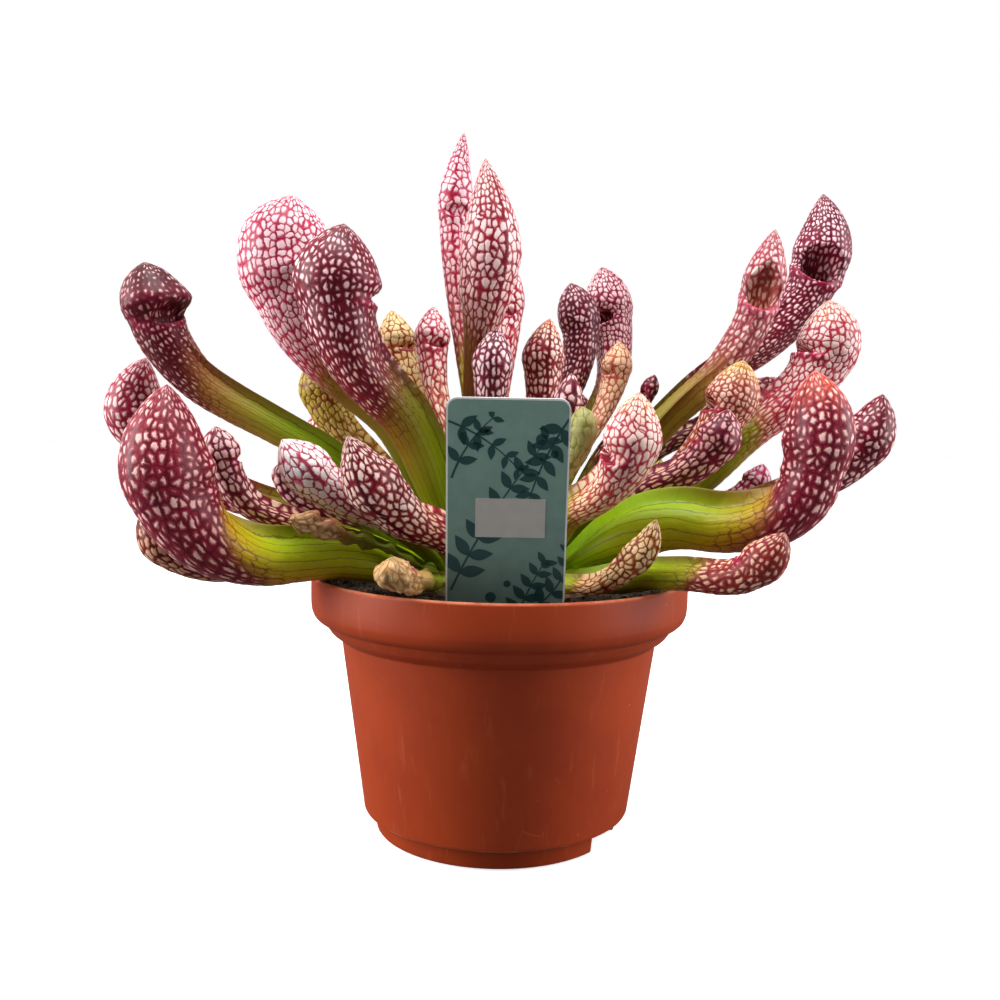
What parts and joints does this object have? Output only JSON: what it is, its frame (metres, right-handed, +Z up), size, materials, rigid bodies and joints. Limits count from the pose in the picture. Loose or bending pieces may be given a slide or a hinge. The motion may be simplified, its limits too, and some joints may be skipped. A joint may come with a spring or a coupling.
{
  "type": "potted pitcher plant",
  "caption": "Low, spreading clump of hooded, net-veined pitcher leaves in a round, stepped plastic nursery pot filled with peat, with a rounded plant label inside the front of the rim.",
  "frame": {"origin": "on the pot's axis, on the surface that the pot's foot ring stands on", "axes": "+Z up, -Y towards the front with the label, +X to the right seen from the front"},
  "size_m": [0.2556, 0.1291, 0.2321],
  "materials": {
    "pot_plastic": "terracotta-coloured moulded plastic, satin, lightly scuffed",
    "peat": "moist dark peat, crumbly",
    "crown": "rough, brown and green, with old leaf bases",
    "label_plastic": "printed rigid sheet, satin",
    "leaf_cream": "waxy living leaf with pale windows between a net of darker veins",
    "leaf_dark": "waxy living leaf with pale windows between a net of darker veins",
    "leaf_dry": "dry, brown, papery leaf",
    "leaf_maroon": "waxy living leaf with pale windows between a net of darker veins",
    "leaf_olive": "waxy living leaf with pale windows between a net of darker veins",
    "leaf_pale": "waxy living leaf with pale windows between a net of darker veins",
    "leaf_pink": "waxy living leaf with pale windows between a net of darker veins",
    "leaf_purple": "waxy living leaf with pale windows between a net of darker veins",
    "leaf_rose": "waxy living leaf with pale windows between a net of darker veins"
  },
  "bodies": {
    "root": {"pot": "pot_plastic", "soil": "peat", "rhizome": "crown", "plant_label": "label_plastic", "pitcher_left_01": "leaf_maroon", "pitcher_left_02": "leaf_pink", "pitcher_left_03": "leaf_maroon", "pitcher_left_04": "leaf_purple", "pitcher_left_05": "leaf_rose", "pitcher_left_06": "leaf_maroon", "pitcher_left_07": "leaf_olive", "pitcher_left_08": "leaf_purple", "pitcher_left_09": "leaf_pink", "pitcher_left_10": "leaf_purple", "pitcher_left_11": "leaf_dark", "pitcher_centre_01": "leaf_cream", "pitcher_centre_02": "leaf_pink", "pitcher_centre_03": "leaf_pink", "pitcher_centre_04": "leaf_pink", "pitcher_centre_05": "leaf_pink", "pitcher_centre_06": "leaf_purple", "pitcher_centre_07": "leaf_pink", "pitcher_centre_08": "leaf_purple", "pitcher_centre_09": "leaf_dark", "pitcher_centre_10": "leaf_maroon", "pitcher_centre_11": "leaf_cream", "pitcher_centre_12": "leaf_dark", "pitcher_centre_13": "leaf_olive", "pitcher_right_01": "leaf_pink", "pitcher_right_02": "leaf_rose", "pitcher_right_03": "leaf_dark", "pitcher_right_04": "leaf_pale", "pitcher_right_05": "leaf_olive", "pitcher_right_06": "leaf_dark", "pitcher_right_07": "leaf_maroon", "pitcher_right_08": "leaf_maroon", "pitcher_right_09": "leaf_pink", "pitcher_right_10": "leaf_olive", "pitcher_right_11": "leaf_cream", "pitcher_right_12": "leaf_dark", "pitcher_dry_01": "leaf_dry", "pitcher_dry_02": "leaf_dry", "pitcher_rear_01": "leaf_maroon", "pitcher_rear_02": "leaf_pink", "pitcher_rear_03": "leaf_rose", "pitcher_rear_04": "leaf_maroon", "pitcher_rear_05": "leaf_pink", "pitcher_rear_06": "leaf_olive"}
  },
  "joints": []
}
